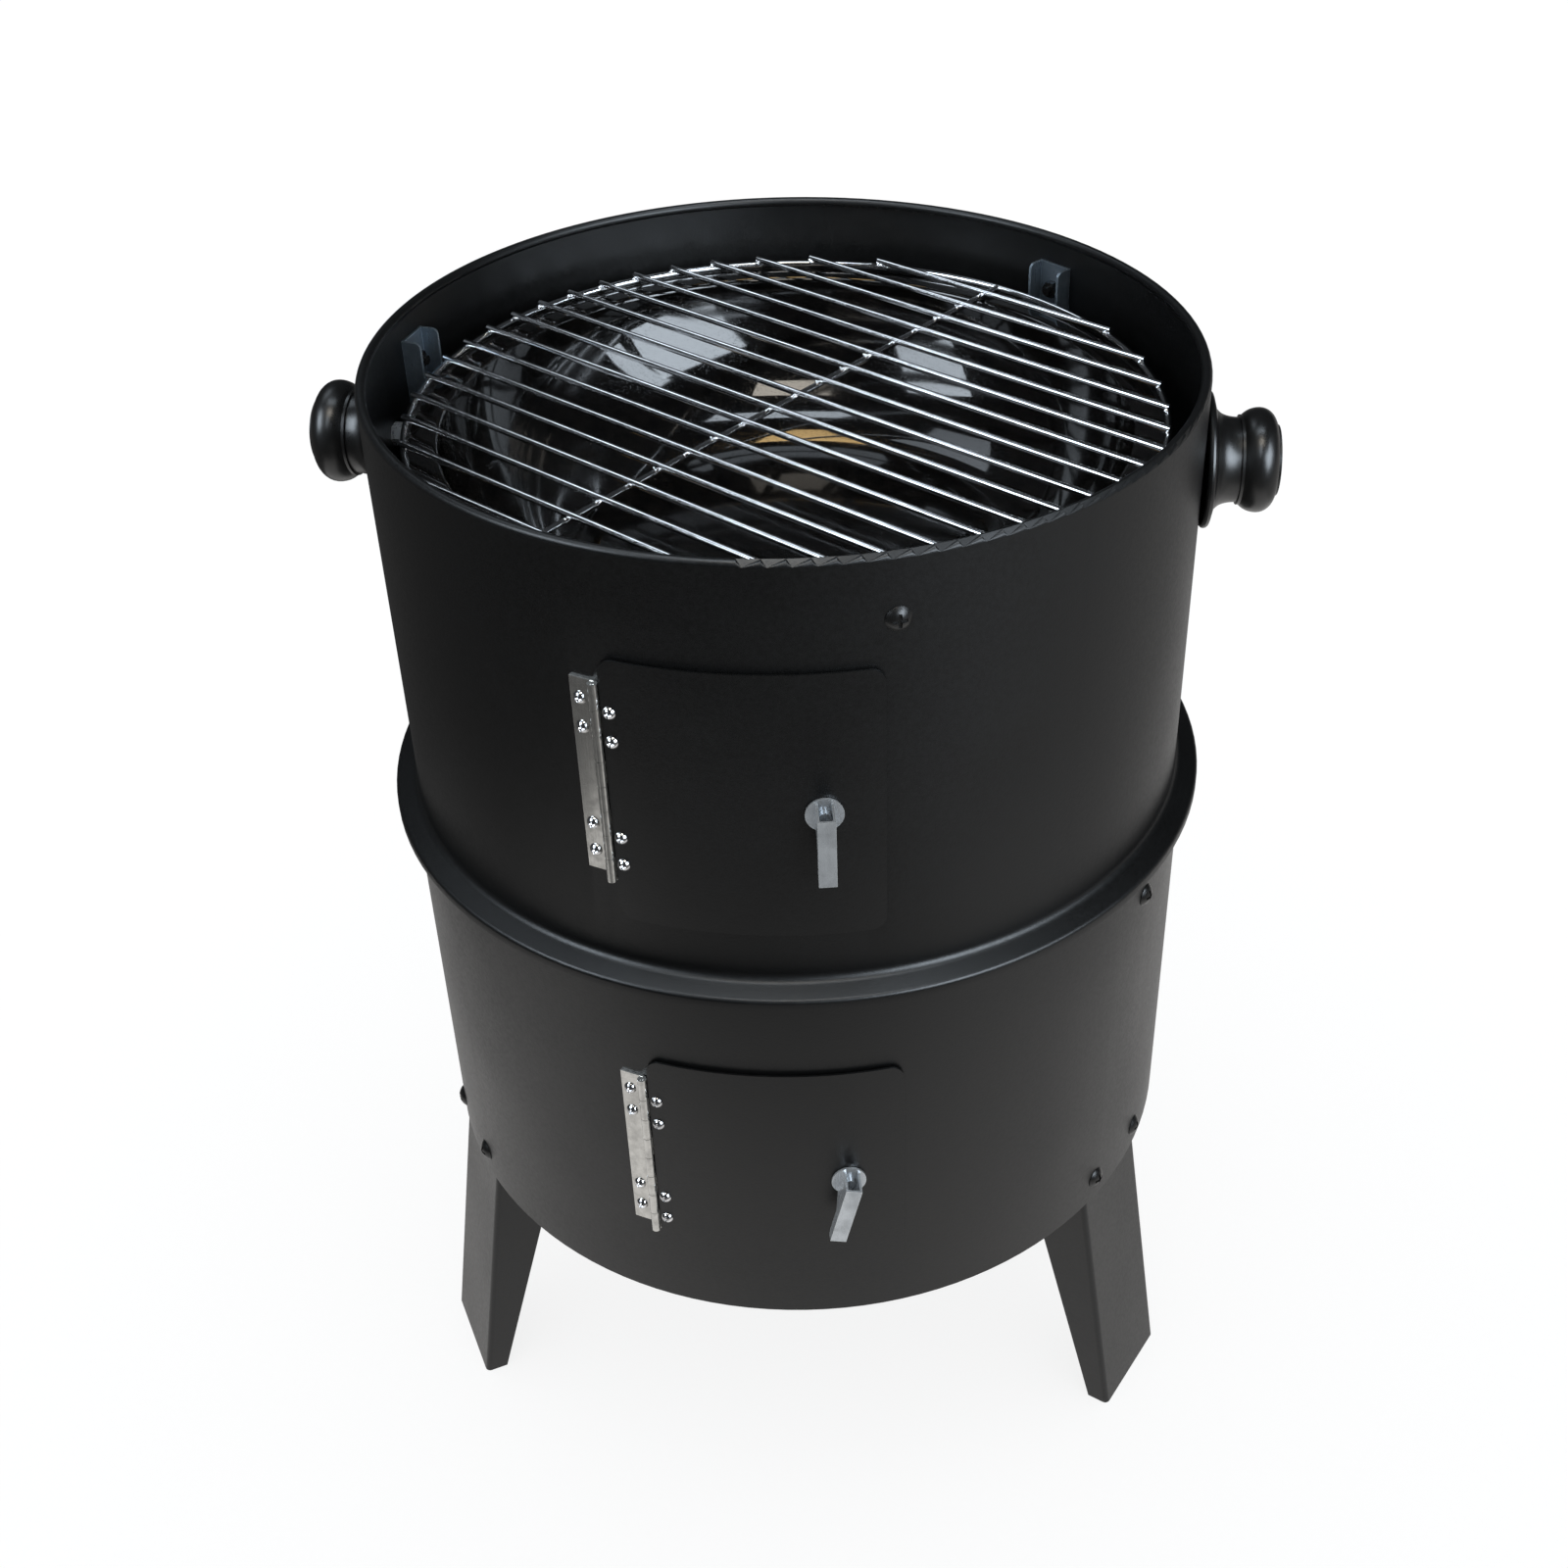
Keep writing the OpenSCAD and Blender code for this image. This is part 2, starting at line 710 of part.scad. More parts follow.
module water_bowl() bowl(upper_seat);
module charcoal_bowl() bowl(lower_seat);

// Ring with parallel rods welded on top of it and one rod across underneath them
module grate(r, count, pitch, z, turn, shift, cross) {
    ring_z = z + rod_r;
    rod_z = ring_z + 2 * rod_r - weld_sink;
    color(chrome)
    rotate([0, 0, turn]) {
        rotate_extrude($fn = 180) translate([r - rod_r, ring_z]) circle(r = rod_r, $fn = 24);
        for (i = [0:count - 1]) {
            y = shift + (i - (count - 1) / 2) * pitch;
            half = sqrt(r * r - y * y) - rod_short;
            translate([-half, y, rod_z]) rotate([0, 90, 0]) cylinder(r = rod_r, h = 2 * half, $fn = 24);
        }
        cross_half = sqrt(pow(r - rod_r, 2) - cross * cross);
        translate([cross, -cross_half, ring_z + cross_lift])
            rotate([-90, 0, 0])
                cylinder(r = rod_r, h = 2 * cross_half, $fn = 24);
    }
}

module cooking_grate() {
    grate(grate_r, rods, rod_pitch, upper_seat + bowl_rise, upper_grate_turn, rod_shift, cross_shift);
}

module lower_cooking_grate() {
    grate(grate_r, rods, rod_pitch, lower_seat + bowl_rise, 0, rod_shift, cross_shift);
}

module charcoal_grate() {
    grate(coal_grate_r, coal_rods, coal_pitch, lower_seat - bowl_depth + coal_grate_up, 90, 0, 0);
}

// ---------- legs ----------

// Cross-section of a leg: outer face on y = 0, flanges towards +y
module leg_channel(depth) {
    spare = 2 * leg_bend_r;
    mid = (depth + spare) / 2;
    difference() {
        translate([0, mid]) rounded_rect(leg_w, depth + spare, leg_bend_r);
        translate([0, mid + leg_t]) rounded_rect(leg_w - 2 * leg_t, depth + spare, leg_bend_r - leg_t);
        translate([-leg_w, depth]) square([2 * leg_w, depth + spare]);
    }
}

// Channel below the origin with -y outwards, its flanges narrowing towards the foot
module leg_blank(long) {
    spare = 12;
    taper = atan((leg_flange_top - leg_flange_foot) / long);
    difference() {
        translate([0, 0, -long - spare])
            linear_extrude(height = long + 2 * spare)
                leg_channel(leg_flange_top + spare);
        translate([-leg_w, leg_flange_top, 0])
            rotate([-taper, 0, 0])
                translate([0, 0, -2 * long])
                    cube([2 * leg_w, 2 * leg_flange_top, 3 * long]);
    }
}

// A splayed channel cut level at both ends, with an upright tab that goes inside the barrel
module leg(az) {
    tab_w = leg_w - 2 * leg_bend_r - 2;
    color(grey_black)
    difference() {
        union() {
            place(az, leg_r, leg_h)
                intersection() {
                    rotate([-leg_splay, 0, 0]) leg_blank(leg_h / cos(leg_splay));
                    translate([-leg_w, -leg_h, -leg_h]) cube([2 * leg_w, 2 * leg_h, leg_h + past]);
                }
            place(az, leg_r, leg_h - past)
                translate([-tab_w / 2, 0, 0])
                    cube([tab_w, leg_t, leg_tab_h + past]);
        }
        for (side = [-1, 1])
            wall_hole(az + side * leg_bolt_angle, leg_h + leg_bolt_up, lower_r,
                      black_bolt[0] + hole_play);
    }
}

module leg_front_left() leg(-leg_az);
module leg_front_right() leg(leg_az);
module leg_rear() leg(180);

module at_leg_bolts(r) {
    for (az = [-leg_az, leg_az, 180], side = [-1, 1])
        place(az + side * leg_bolt_angle, r, leg_h + leg_bolt_up)
            outward()
                children();
}

module leg_bolts() {
    color(black_paint) at_leg_bolts(lower_r + touch) screw(black_bolt, 11);
}

module leg_nuts() {
    plate_back = (leg_r - leg_t) / cos(leg_bolt_angle);
    color(grey_black)
    at_leg_bolts(plate_back - black_nut[0] * tan(leg_bolt_angle) - touch)
        nut(black_nut, black_bolt[0]);
}

// ---------- knobs ----------

// Outline of a turned knob: x is the radius, y the distance from its base
module knob_outline() {
    rim_r = 2;
    rim_slope = [3.5, 0.6];
    hollow = [4, 10];
    neck_end = 17;
    step = [1.2, 0.3];
    end_mid = 27;
    end_deep = 9;
    end_back = 10.5;
    end_front = 8.4;
    end_centre = [knob_end_r - end_deep, end_mid];
    polygon(concat(
        [[0, 0], [knob_base_r - rim_r, 0]],
        arc([knob_base_r - rim_r, rim_r], rim_r, -90, 60, 5),
        [[knob_base_r - rim_r - rim_slope[0], knob_base_t]],
        [[knob_neck_r + hollow[0] + rim_slope[1], knob_base_t + rim_slope[1]]],
        ellipse_arc([knob_neck_r + hollow[0], neck_end], hollow[0], hollow[1], 250, 185, 6),
        [[knob_neck_r, neck_end], [knob_neck_r, neck_end] + step],
        ellipse_arc(end_centre, end_deep, end_back, -53, 0, 6),
        ellipse_arc(end_centre, end_deep, end_front, 12, 78, 7),
        [[knob_cap_r + 0.6, knob_len], [0, knob_len]]
    ));
}

module knob(az) {
    fit = 0.1;
    color(phenolic)
    place(az, upper_r + touch, knob_z)
        outward()
            difference() {
                rotate_extrude() knob_outline();
                translate([0, 0, -past]) cylinder(r = knob_bolt[0] + hole_play, h = knob_len);
                translate([0, 0, knob_len - knob_pocket])
                    cylinder(r = knob_spigot_r + fit, h = knob_pocket + past);
                translate([0, 0, knob_len - knob_cap_seat])
                    cylinder(r = knob_cap_r + fit, h = knob_cap_seat + past);
            }
}

module knob_cap(az) {
    color(phenolic)
    place(az, upper_r + touch, knob_z)
        outward() {
            translate([0, 0, knob_len - knob_cap_seat + touch])
                cylinder(r = knob_cap_r, h = knob_cap_t - touch);
            translate([0, 0, knob_len - knob_spigot_len])
                cylinder(r = knob_spigot_r, h = knob_spigot_len);
        }
}

module left_knob() knob(left_knob_az);
module right_knob() knob(right_knob_az);
module left_knob_cap() knob_cap(left_knob_az);
module right_knob_cap() knob_cap(right_knob_az);

module knob_screws() {
    seat = knob_len - knob_pocket;
    color(zinc)
    for (az = knob_azs)
        place(az, upper_r + seat + 2 * touch, knob_z)
            outward()
                screw(knob_bolt, seat + wall + knob_nut[1] + 2);
}

module knob_nuts() {
    color(zinc)
    for (az = knob_azs)
        place(az, upper_r - wall - 2 * touch, knob_z)
            outward()
                nut(knob_nut, knob_bolt[0]);
}

// ---------- drawing ----------

lower_barrel();
leg_front_left();
leg_front_right();
leg_rear();
leg_bolts();
leg_nuts();
lower_bracket_left();
lower_bracket_right();
lower_bracket_rear();
lower_bracket_bolts();
lower_bracket_nuts();
charcoal_bowl();
charcoal_grate();
lower_cooking_grate();
lower_hinge_barrel_leaf();
lower_hinge_pin();
lower_hinge_barrel_screws();
lower_hinge_barrel_nuts();
lower_door();
lower_hinge_door_leaf();
lower_hinge_door_screws();
lower_hinge_door_nuts();
lower_latch_lever();
lower_latch_disc();
lower_latch_spindle();
lower_latch_tongue();
lower_latch_nut();
upper_barrel();
left_knob();
right_knob();
left_knob_cap();
right_knob_cap();
knob_screws();
knob_nuts();
upper_bracket_front();
upper_bracket_left();
upper_bracket_rear();
upper_bracket_bolts();
upper_bracket_nuts();
water_bowl();
cooking_grate();
upper_hinge_barrel_leaf();
upper_hinge_pin();
upper_hinge_barrel_screws();
upper_hinge_barrel_nuts();
upper_door();
upper_hinge_door_leaf();
upper_hinge_door_screws();
upper_hinge_door_nuts();
upper_latch_lever();
upper_latch_disc();
upper_latch_spindle();
upper_latch_tongue();
upper_latch_nut();
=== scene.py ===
import json
import math
import random

import bmesh
import bpy
import numpy as np
from mathutils import Matrix, Vector, noise


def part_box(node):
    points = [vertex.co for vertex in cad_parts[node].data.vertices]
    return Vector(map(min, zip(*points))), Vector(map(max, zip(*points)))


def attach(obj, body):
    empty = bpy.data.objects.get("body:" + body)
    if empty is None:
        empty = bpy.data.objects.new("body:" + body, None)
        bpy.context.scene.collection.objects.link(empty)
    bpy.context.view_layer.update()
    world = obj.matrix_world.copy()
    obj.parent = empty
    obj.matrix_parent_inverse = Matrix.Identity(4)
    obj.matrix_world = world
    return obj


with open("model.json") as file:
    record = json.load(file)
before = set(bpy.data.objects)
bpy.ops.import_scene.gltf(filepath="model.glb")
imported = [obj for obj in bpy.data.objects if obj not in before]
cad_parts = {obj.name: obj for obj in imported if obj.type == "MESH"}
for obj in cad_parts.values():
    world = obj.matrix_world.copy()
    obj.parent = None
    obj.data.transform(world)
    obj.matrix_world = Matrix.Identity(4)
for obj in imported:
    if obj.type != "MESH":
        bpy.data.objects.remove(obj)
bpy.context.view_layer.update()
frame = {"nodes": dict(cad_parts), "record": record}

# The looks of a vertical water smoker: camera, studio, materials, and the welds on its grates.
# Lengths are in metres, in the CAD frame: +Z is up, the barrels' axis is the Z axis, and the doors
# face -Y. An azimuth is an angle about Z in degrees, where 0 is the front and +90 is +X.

nodes = frame["nodes"]


# ---------- camera ----------

def add_camera():
    """A phone-like view from above the front, slightly to the right of the doors."""
    camera = bpy.data.cameras.new("camera")
    camera.lens = 46.88
    camera.sensor_width = 36.0
    camera.shift_x = -0.0488
    camera.shift_y = -0.0073
    camera.clip_start = 0.05
    eye = bpy.data.objects.new("camera", camera)
    yaw, tilt, roll = math.radians(4.373), math.radians(53.921), math.radians(-0.655)
    turn = Matrix.Rotation(yaw, 4, "Z") @ Matrix.Rotation(tilt, 4, "X") @ Matrix.Rotation(roll, 4, "Z")
    eye.matrix_world = Matrix.Translation((0.1016, -0.8918, 1.0079)) @ turn
    bpy.context.scene.collection.objects.link(eye)
    bpy.context.scene.camera = eye


# ---------- shading ----------

def soften(mesh, crease):
    """Shades faces that meet at less than crease degrees as one smooth surface; no vertex moves."""
    corner_vert = np.empty(len(mesh.loops), dtype=np.int32)
    mesh.loops.foreach_get("vertex_index", corner_vert)
    points = np.empty(len(mesh.vertices) * 3, dtype=np.float32)
    mesh.vertices.foreach_get("co", points)
    points = points.reshape(-1, 3)
    facing = np.empty(len(mesh.polygons) * 3, dtype=np.float32)
    mesh.polygons.foreach_get("normal", facing)
    facing = np.repeat(facing.reshape(-1, 3), 3, axis=0)

    triangles = points[corner_vert].reshape(-1, 3, 3).astype(float)
    forward = np.roll(triangles, -1, axis=1) - triangles
    back = np.roll(triangles, 1, axis=1) - triangles
    sizes = np.linalg.norm(forward, axis=2) * np.linalg.norm(back, axis=2)
    corner_angle = np.arccos(np.clip((forward * back).sum(axis=2) / np.maximum(sizes, 1e-18), -1, 1))
    pull = facing * corner_angle.reshape(-1, 1)

    micron = np.round(points * 1e6).astype(np.int64)
    spot = np.unique(micron, axis=0, return_inverse=True)[1].reshape(-1)[corner_vert]
    order = np.argsort(spot, kind="stable")
    starts = np.flatnonzero(np.diff(spot[order])) + 1
    limit = math.cos(math.radians(crease))
    normals = np.empty_like(facing)
    for corners in np.split(order, starts):
        together = facing[corners] @ facing[corners].T > limit
        normals[corners] = together @ pull[corners]
    normals /= np.maximum(np.linalg.norm(normals, axis=1, keepdims=True), 1e-18)
    mesh.shade_smooth()
    mesh.normals_split_custom_set(normals.tolist())


# ---------- shader helpers ----------

class Look:
    """A node material with a Principled surface and short ways to add to it."""

    def __init__(self, name):
        self.material = bpy.data.materials.new(name)
        self.material.use_nodes = True
        self.tree = self.material.node_tree
        self.tree.nodes.clear()
        self.out = self.tree.nodes.new("ShaderNodeOutputMaterial")
        self.skin = self.tree.nodes.new("ShaderNodeBsdfPrincipled")
        self.tree.links.new(self.skin.outputs[0], self.out.inputs["Surface"])
        self.place = self.tree.nodes.new("ShaderNodeTexCoord").outputs["Object"]

    def set(self, **values):
        """Sets inputs of the Principled surface: a value, or a socket to link."""
        for name, value in values.items():
            self.feed(self.skin.inputs[name.replace("_", " ")], value)

    def feed(self, socket, value):
        if isinstance(value, bpy.types.NodeSocket):
            self.tree.links.new(value, socket)
        else:
            socket.default_value = value

    def stretched(self, x, y, z):
        """Object coordinates scaled along each axis."""
        mapping = self.tree.nodes.new("ShaderNodeMapping")
        mapping.inputs["Scale"].default_value = (x, y, z)
        self.feed(mapping.inputs["Vector"], self.place)
        return mapping.outputs[0]

    def noise(self, scale, detail=2.0, rough=0.5, at=None):
        """Noise with this many cells per metre."""
        node = self.tree.nodes.new("ShaderNodeTexNoise")
        node.inputs["Scale"].default_value = scale
        node.inputs["Detail"].default_value = detail
        node.inputs["Roughness"].default_value = rough
        self.feed(node.inputs["Vector"], at or self.place)
        return node.outputs["Fac"]

    def ramp(self, value, low, high, start=0.35, end=0.65):
        """value between start and end becomes a number between low and high."""
        node = self.tree.nodes.new("ShaderNodeMapRange")
        self.feed(node.inputs["Value"], value)
        node.inputs["From Min"].default_value = start
        node.inputs["From Max"].default_value = end
        node.inputs["To Min"].default_value = low
        node.inputs["To Max"].default_value = high
        return node.outputs["Result"]

    def maths(self, kind, a, b=0.0):
        node = self.tree.nodes.new("ShaderNodeMath")
        node.operation = kind
        self.feed(node.inputs[0], a)
        self.feed(node.inputs[1], b)
        return node.outputs[0]

    def blend(self, share, a, b):
        """Colour a turning into colour b as share goes from 0 to 1."""
        node = self.tree.nodes.new("ShaderNodeMix")
        node.data_type = "RGBA"
        self.feed(node.inputs["Factor"], share)
        self.feed(node.inputs[6], a)
        self.feed(node.inputs[7], b)
        return node.outputs[2]

    def bump(self, height, depth, over=None):
        """Bumps as deep as depth, on top of the bumps in over."""
        node = self.tree.nodes.new("ShaderNodeBump")
        node.inputs["Distance"].default_value = depth
        self.feed(node.inputs["Height"], height)
        if over:
            self.feed(node.inputs["Normal"], over)
        return node.outputs[0]

    def edge(self, width):
        """1 on sharp edges, 0 away from them."""
        round_edge = self.tree.nodes.new("ShaderNodeBevel")
        round_edge.samples = 4
        round_edge.inputs["Radius"].default_value = width
        flat = self.tree.nodes.new("ShaderNodeNewGeometry")
        dot = self.tree.nodes.new("ShaderNodeVectorMath")
        dot.operation = "DOT_PRODUCT"
        self.tree.links.new(round_edge.outputs[0], dot.inputs[0])
        self.tree.links.new(flat.outputs["Normal"], dot.inputs[1])
        return self.ramp(dot.outputs["Value"], 1.0, 0.0, 0.86, 0.99)


def grey(level, warm=0.0):
    """A grey, tinted warm (red) or cool (blue) by a small share."""
    return (level * (1 + warm), level, level * (1 - warm), 1.0)


# ---------- materials ----------

def powder_coat(name, level, gloss):
    """Satin black powder coat: fine orange peel, and faint clouding in colour and gloss."""
    look = Look(name)
    cloud = look.noise(9, detail=4)
    dust = look.noise(420, detail=3, rough=0.7)
    look.set(Base_Color=look.blend(look.ramp(cloud, 0, 1), grey(level, 0.04), grey(level * 1.35, 0.0)),
             Roughness=look.maths("ADD", look.ramp(cloud, gloss - 0.03, gloss + 0.03),
                                  look.ramp(dust, -0.03, 0.03)))
    look.skin.inputs["IOR"].default_value = 1.46
    peel = look.bump(look.noise(900, detail=1), 0.000035)
    look.set(Normal=look.bump(look.noise(2600, detail=2, rough=0.6), 0.000012, peel))
    return look.material


def enamel(name):
    """Glossy black porcelain enamel with long soft waves and tiny pits."""
    look = Look(name)
    long_wave = look.noise(26, detail=2)
    short_wave = look.noise(130, detail=3, rough=0.55)
    pits = look.noise(1500, detail=1)
    look.set(Base_Color=look.blend(look.ramp(short_wave, 0, 1), grey(0.0025), grey(0.006, 0.1)),
             Roughness=look.ramp(long_wave, 0.035, 0.085))
    look.skin.inputs["IOR"].default_value = 1.52
    waves = look.bump(short_wave, 0.000008, look.bump(long_wave, 0.00006))
    look.set(Normal=look.bump(look.ramp(pits, 1, 0, 0.28, 0.36), 0.00001, waves))
    return look.material


def plated(name, colour, metal, rough, spread, drawn, mottle, edge_highlight_gain=1.2):
    """Plated steel: a drawing grain along one axis, cloudy plating, and a painted highlight on its
    edges.
    """
    look = Look(name)
    grain = look.noise(1.0, detail=3, rough=0.6, at=look.stretched(*drawn))
    cloud = look.noise(mottle, detail=4, rough=0.6)
    darker = tuple(c * 0.72 for c in colour[:3]) + (1.0,)
    # Painted highlight: the colour turns brighter on sharp edges, by the gain given, standing in for
    # edge highlights.
    edge_highlight = look.edge(0.0004)
    tone = look.blend(look.ramp(cloud, 0, 1), colour, darker)
    edge_highlight_colour = tuple(min(1.0, c * edge_highlight_gain) for c in colour[:3]) + (1.0,)
    look.set(Base_Color=look.blend(edge_highlight, tone, edge_highlight_colour),
             Metallic=metal,
             Roughness=look.maths("ADD", look.ramp(cloud, rough - spread, rough + spread),
                                  look.ramp(grain, -0.04, 0.04)))
    look.set(Normal=look.bump(grain, 0.000002, look.bump(cloud, 0.000003)))
    return look.material


def phenolic(name):
    """Moulded black plastic: even semi-gloss with faint flow marks."""
    look = Look(name)
    flow = look.noise(1.0, detail=3, at=look.stretched(120, 35, 35))
    speck = look.noise(1400, detail=2)
    look.set(Base_Color=look.blend(look.ramp(flow, 0, 1), grey(0.006), grey(0.010, 0.05)),
             Roughness=look.maths("ADD", look.ramp(flow, 0.28, 0.34), look.ramp(speck, -0.02, 0.02)))
    look.skin.inputs["IOR"].default_value = 1.55
    look.set(Normal=look.bump(speck, 0.000004, look.bump(flow, 0.00001)))
    return look.material


def dress():
    """Gives each CAD node the finish of its slot in the record; the brackets get a darker copy of zinc
    as painted shade.
    """
    finishes = {
        "barrel_paint": powder_coat("barrel_paint", 0.0022, 0.40),
        "leg_paint": powder_coat("leg_paint", 0.006, 0.40),
        "black_bolt": powder_coat("black_bolt", 0.007, 0.30),
        "enamel": enamel("enamel"),
        "nickel": plated("nickel", (0.66, 0.65, 0.62, 1), 0.9, 0.18, 0.04, (1800, 1800, 25), 160),
        "zinc": plated("zinc", (0.60, 0.63, 0.66, 1), 0.55, 0.28, 0.05, (900, 900, 30), 120, edge_highlight_gain=1.6),
        # Painted shade and painted highlight: a darker copy of zinc for the brackets inside the
        # barrel, with strongly brightened edges.
        "shaded_zinc": plated("shaded_zinc", (0.24, 0.29, 0.34, 1), 0.75, 0.34, 0.05, (900, 900, 30), 90,
                            edge_highlight_gain=3.0),
        "chrome": plated("chrome", (0.82, 0.82, 0.83, 1), 1.0, 0.12, 0.03, (300, 300, 300), 90),
        "phenolic": phenolic("phenolic"),
    }
    slots = {part["node"]: part["material_slot"] for part in frame["record"]["subparts"]}
    for name, node in nodes.items():
        soften(node.data, 25)
        finish = slots[name]
        # Painted shade: zinc brackets take the darker copy of zinc.
        if finish == "zinc" and "bracket" in name:
            finish = "shaded_zinc"
        for slot in node.material_slots:
            slot.material = finishes[finish]
    return finishes


# ---------- studio ----------

def aim(obj, place, target):
    """Puts obj at place with its -Z towards target."""
    turn = (target - place).to_track_quat("-Z", "Y").to_matrix().to_4x4()
    obj.matrix_world = Matrix.Translation(place) @ turn


def toward(azimuth, elevation):
    """The unit vector that points this way from the object."""
    az, el = math.radians(azimuth), math.radians(elevation)
    return Vector((math.cos(el) * math.sin(az), -math.cos(el) * math.cos(az), math.sin(el)))


def softbox(name, azimuth, elevation, width, height, radiance, colour, roll=0.0):
    """A rectangular panel that faces the middle of the object and shows in reflections only."""
    distance = 2.2
    middle = Vector((0, 0, 0.5))
    lamp = bpy.data.lights.new(name, "AREA")
    lamp.shape = "RECTANGLE"
    lamp.size = width
    lamp.size_y = height
    lamp.color = colour
    lamp.energy = radiance * math.pi * width * height
    holder = bpy.data.objects.new(name, lamp)
    aim(holder, middle + toward(azimuth, elevation) * distance, middle)
    holder.matrix_world = holder.matrix_world @ Matrix.Rotation(math.radians(roll), 4, "Z")
    holder.visible_camera = False
    holder.visible_diffuse = False
    bpy.context.scene.collection.objects.link(holder)
    return holder


def only_on(light, names):
    """Keeps a light to the CAD nodes with these names."""
    group = bpy.data.collections.new(light.name + "_receivers")
    for name in names:
        group.objects.link(nodes[name])
    light.light_linking.receiver_collection = group


def add_lights():
    cool = (0.80, 0.90, 1.0)
    pale = (1.0, 0.93, 0.82)
    gold = (1.0, 0.68, 0.30)
    softbox("window_right", 45, 24, 1.30, 1.25, 12.0, cool, roll=12)
    softbox("window_right_side", 69, 30, 0.26, 1.20, 11.0, cool, roll=12)
    softbox("window_left", -58, 35, 0.86, 1.20, 10.0, cool, roll=40)
    softbox("lamp_overhead", 3, 67, 0.76, 0.48, 8.5, pale)
    softbox("ceiling_panel", 183, 87, 1.15, 0.26, 8.0, cool)
    softbox("room_left_back", -132, 54, 0.90, 0.60, 2.2, cool)
    wall_of_gold = softbox("wall_of_gold", 189, 59, 0.22, 0.66, 8.0, gold)
    only_on(wall_of_gold, ["water_bowl", "charcoal_bowl"])
    knob_window = softbox("knob_window", -6, 48, 0.26, 0.80, 8.0, cool)
    only_on(knob_window, ["left_knob", "right_knob"])
    ceiling = softbox("ceiling", 0, 82, 1.80, 0.90, 4.6, cool)
    only_on(ceiling, ["upper_barrel"])


def add_world():
    """A pale room for diffuse light, a dim one for reflections, and white for the camera."""
    world = bpy.data.worlds.new("studio")
    bpy.context.scene.world = world
    world.use_nodes = True
    tree = world.node_tree
    tree.nodes.clear()
    rays = tree.nodes.new("ShaderNodeLightPath")

    def sky(colour, strength):
        node = tree.nodes.new("ShaderNodeBackground")
        node.inputs["Color"].default_value = colour
        node.inputs["Strength"].default_value = strength
        return node.outputs[0]

    def switch(share, off, on):
        node = tree.nodes.new("ShaderNodeMixShader")
        tree.links.new(share, node.inputs[0])
        tree.links.new(off, node.inputs[1])
        tree.links.new(on, node.inputs[2])
        return node.outputs[0]

    room = sky((0.95, 0.98, 1.0, 1), 0.85)
    dim_room = sky((0.85, 0.92, 1.0, 1), 0.04)
    white = sky((1, 1, 1, 1), 1.0)
    lit = switch(rays.outputs["Is Glossy Ray"], room, dim_room)
    out = tree.nodes.new("ShaderNodeOutputWorld")
    tree.links.new(switch(rays.outputs["Is Camera Ray"], lit, white), out.inputs["Surface"])


def paper_glow(look):
    """How bright the floor is in reflections: a lit sheet of paper on a darker floor."""
    split = look.tree.nodes.new("ShaderNodeSeparateXYZ")
    look.feed(split.inputs[0], look.place)
    x, y = split.outputs["X"], split.outputs["Y"]
    slant = look.maths("SUBTRACT", y, look.maths("MULTIPLY", x, 0.5))
    sheet = look.ramp(y, 0.0, 1.0, -0.68, -0.65)
    for edge in (look.ramp(x, 0.0, 1.0, -0.60, -0.58),
                 look.ramp(x, 1.0, 0.0, 0.58, 0.68),
                 look.ramp(slant, 1.0, 0.0, 0.50, 0.60)):
        sheet = look.maths("MULTIPLY", sheet, edge)
    on_sheet = look.ramp(y, 0.40, 0.80, -0.66, -0.40)
    off_sheet = look.maths("MULTIPLY", look.ramp(x, 0.09, 0.42, -0.50, 0.65),
                           look.ramp(y, 0.4, 1.0, -0.95, -0.40))
    lit = look.maths("MULTIPLY", sheet, on_sheet)
    unlit = look.maths("MULTIPLY", look.maths("SUBTRACT", 1.0, sheet), off_sheet)
    return look.maths("ADD", lit, unlit)


def add_floor():
    """White paper: nearly even white to the camera, with a soft shadow under the object."""
    mesh = bpy.data.meshes.new("floor")
    half = 12.0
    seen_share = 0.74
    seen_glow = 0.83
    mesh.from_pydata([(-half, -half, 0), (half, -half, 0), (half, half, 0), (-half, half, 0)],
                     [], [(0, 1, 2, 3)])
    floor = bpy.data.objects.new("floor", mesh)
    bpy.context.scene.collection.objects.link(floor)
    look = Look("paper")
    rays = look.tree.nodes.new("ShaderNodeLightPath")
    seen = rays.outputs["Is Camera Ray"]
    mirrored = rays.outputs["Is Glossy Ray"]
    grain = look.ramp(look.noise(300, detail=3), 0, 1)
    paper = look.blend(grain, grey(0.86), grey(0.90))
    dimmed = look.maths("ADD", look.maths("MULTIPLY", seen, seen_share), mirrored)
    look.set(Base_Color=look.blend(dimmed, paper, grey(0.0)), Roughness=0.9)
    look.skin.inputs["Specular IOR Level"].default_value = 0.0
    look.set(Emission_Color=look.blend(mirrored, (1, 1, 1, 1), (1.0, 0.985, 0.97, 1)))
    glow = look.maths("MULTIPLY", mirrored, paper_glow(look))
    look.set(Emission_Strength=look.maths("ADD", glow, look.maths("MULTIPLY", seen, seen_glow)))
    mesh.materials.append(look.material)


# ---------- welds ----------

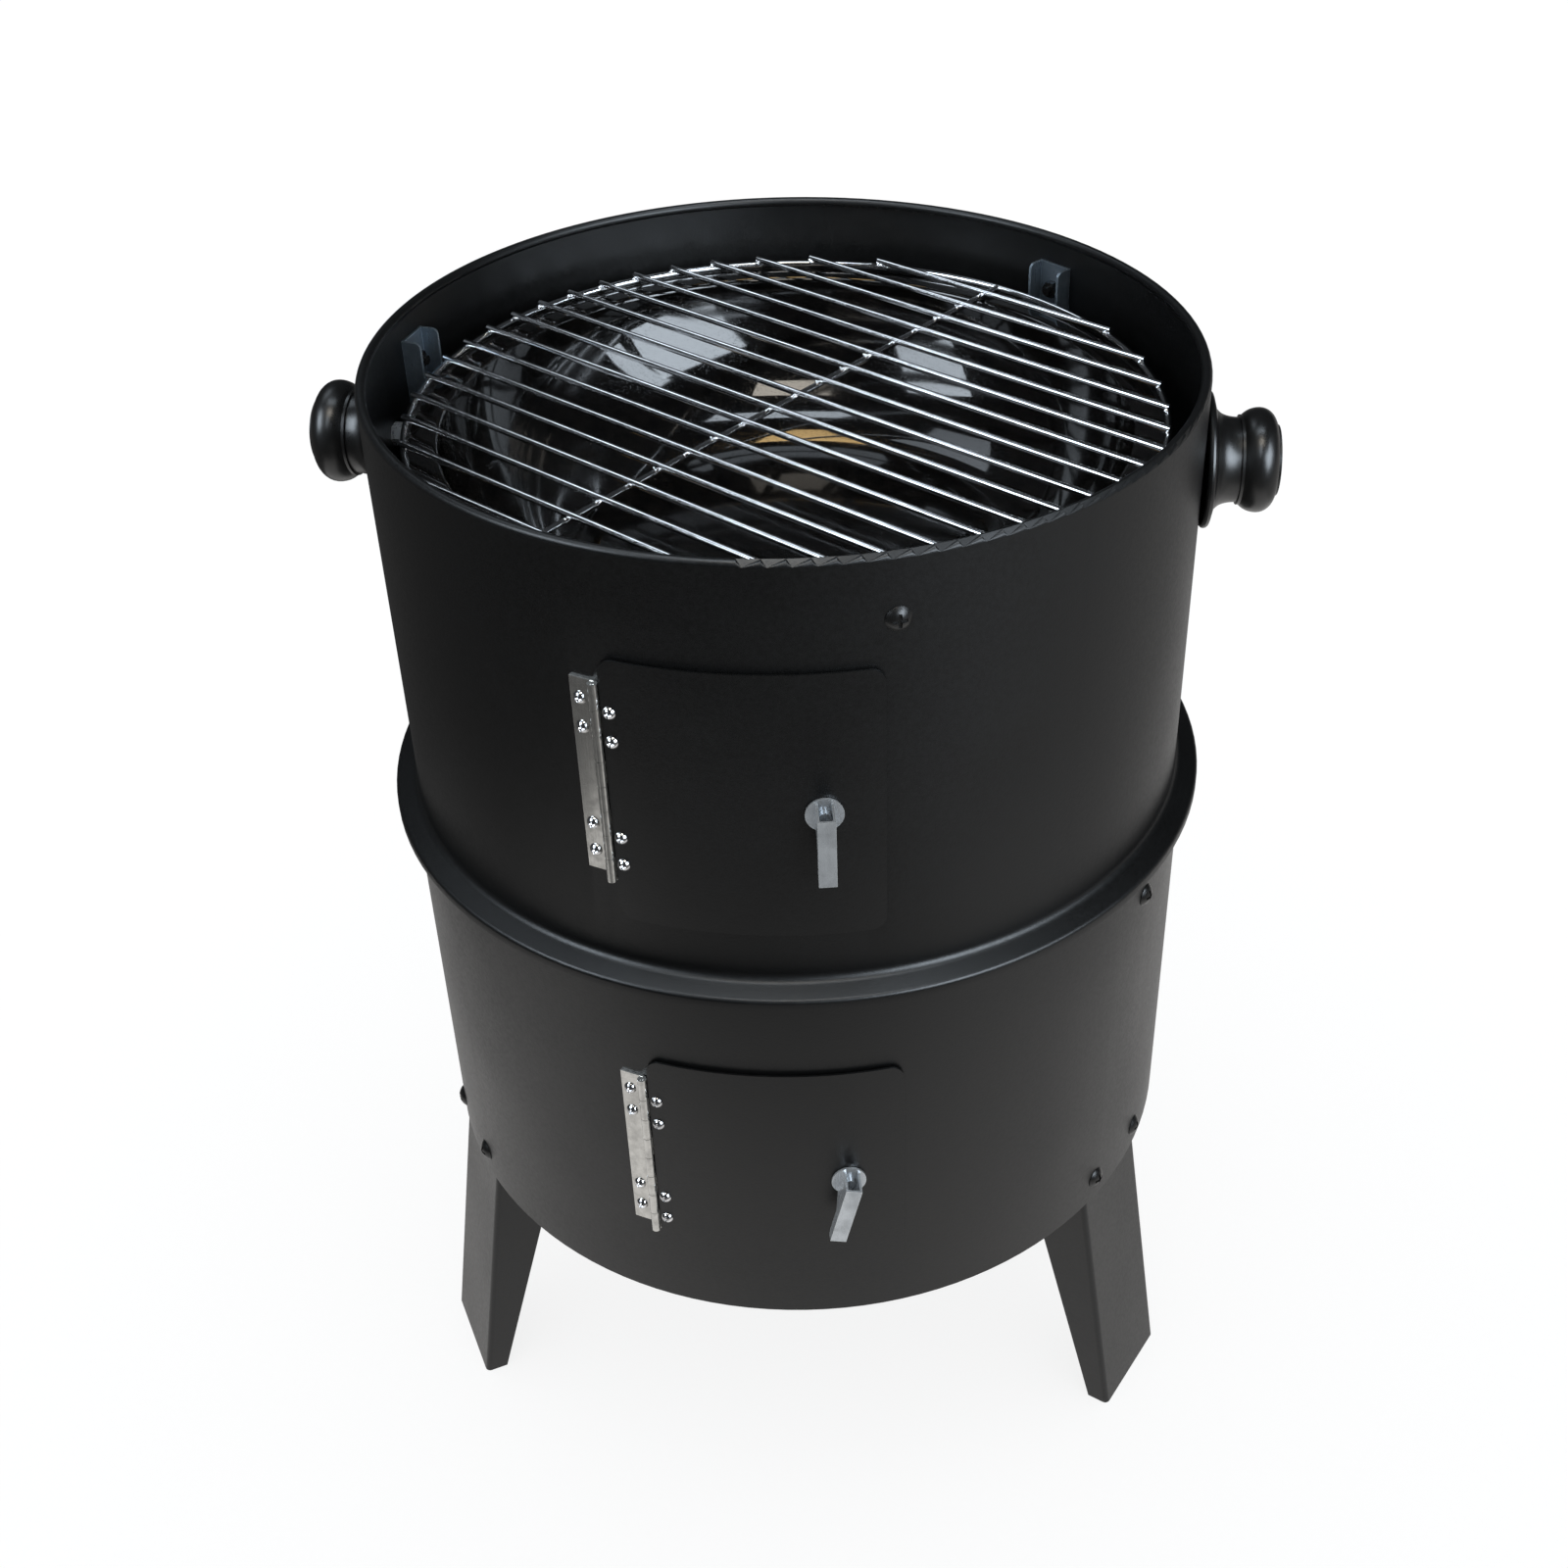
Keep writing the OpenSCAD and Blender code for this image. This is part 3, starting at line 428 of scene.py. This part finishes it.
def blob(mesh, place, size, dice):
    """Adds one lump of weld metal: a small ball, flattened, turned and dented at random."""
    ball = bmesh.ops.create_icosphere(mesh, subdivisions=2, radius=1.0)["verts"]
    turn = Matrix.Rotation(dice.uniform(0, math.tau), 3, "Z")
    stretch = Vector((dice.uniform(1.0, 1.5), dice.uniform(0.8, 1.0), dice.uniform(0.7, 0.9)))
    phase = Vector([dice.uniform(0, 9) for _ in range(3)])
    for vert in ball:
        dent = 1 + 0.16 * noise.noise(vert.co * 1.3 + phase)
        vert.co = turn @ (vert.co * stretch) * dent * size + place


def add_welds(node, rods, pitch, shift, cross, turn, finish):
    """Welds where a grate's rods cross the rod under them and where they end on the ring."""
    low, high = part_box(node)
    rod_r = 0.0016
    cross_weld = 0.0011
    ring_weld = 0.0012
    beside_ring_rod = 0.0014
    sunk = 0.0002
    ring_r = (high.x - low.x) / 2 - rod_r
    joint_z = low.z + 2 * rod_r
    dice = random.Random(node)
    mesh = bmesh.new()
    spots = []
    for i in range(rods):
        y = shift + (i - (rods - 1) / 2) * pitch
        end = math.sqrt(ring_r ** 2 - y ** 2)
        for side in (-1, 1):
            spots.append((cross + side * rod_r, y + dice.uniform(-0.001, 0.001), cross_weld))
        for side in (-1, 1):
            spots.append((side * end, y - math.copysign(beside_ring_rod, y), ring_weld))
    facing = Matrix.Rotation(turn, 3, "Z")
    for x, y, size in spots:
        blob(mesh, facing @ Vector((x, y, joint_z - sunk)), size, dice)
    data = bpy.data.meshes.new(node + "_welds")
    mesh.to_mesh(data)
    mesh.free()
    data.shade_smooth()
    data.materials.append(finish)
    piece = bpy.data.objects.new(node + "_welds", data)
    bpy.context.scene.collection.objects.link(piece)
    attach(piece, node)


# ---------- build ----------

def main():
    finishes = dress()
    chrome = finishes["chrome"]
    cooking = {"rods": 18, "pitch": 0.01925, "shift": 0.0032, "cross": -0.0059}
    charcoal = {"rods": 12, "pitch": 0.022, "shift": 0.0, "cross": 0.0}
    add_welds("cooking_grate", turn=math.radians(-34.7), finish=chrome, **cooking)
    add_welds("lower_cooking_grate", turn=0.0, finish=chrome, **cooking)
    add_welds("charcoal_grate", turn=math.radians(90), finish=chrome, **charcoal)
    add_camera()
    add_world()
    add_lights()
    add_floor()
    bpy.context.scene.view_settings.view_transform = "Standard"


main()
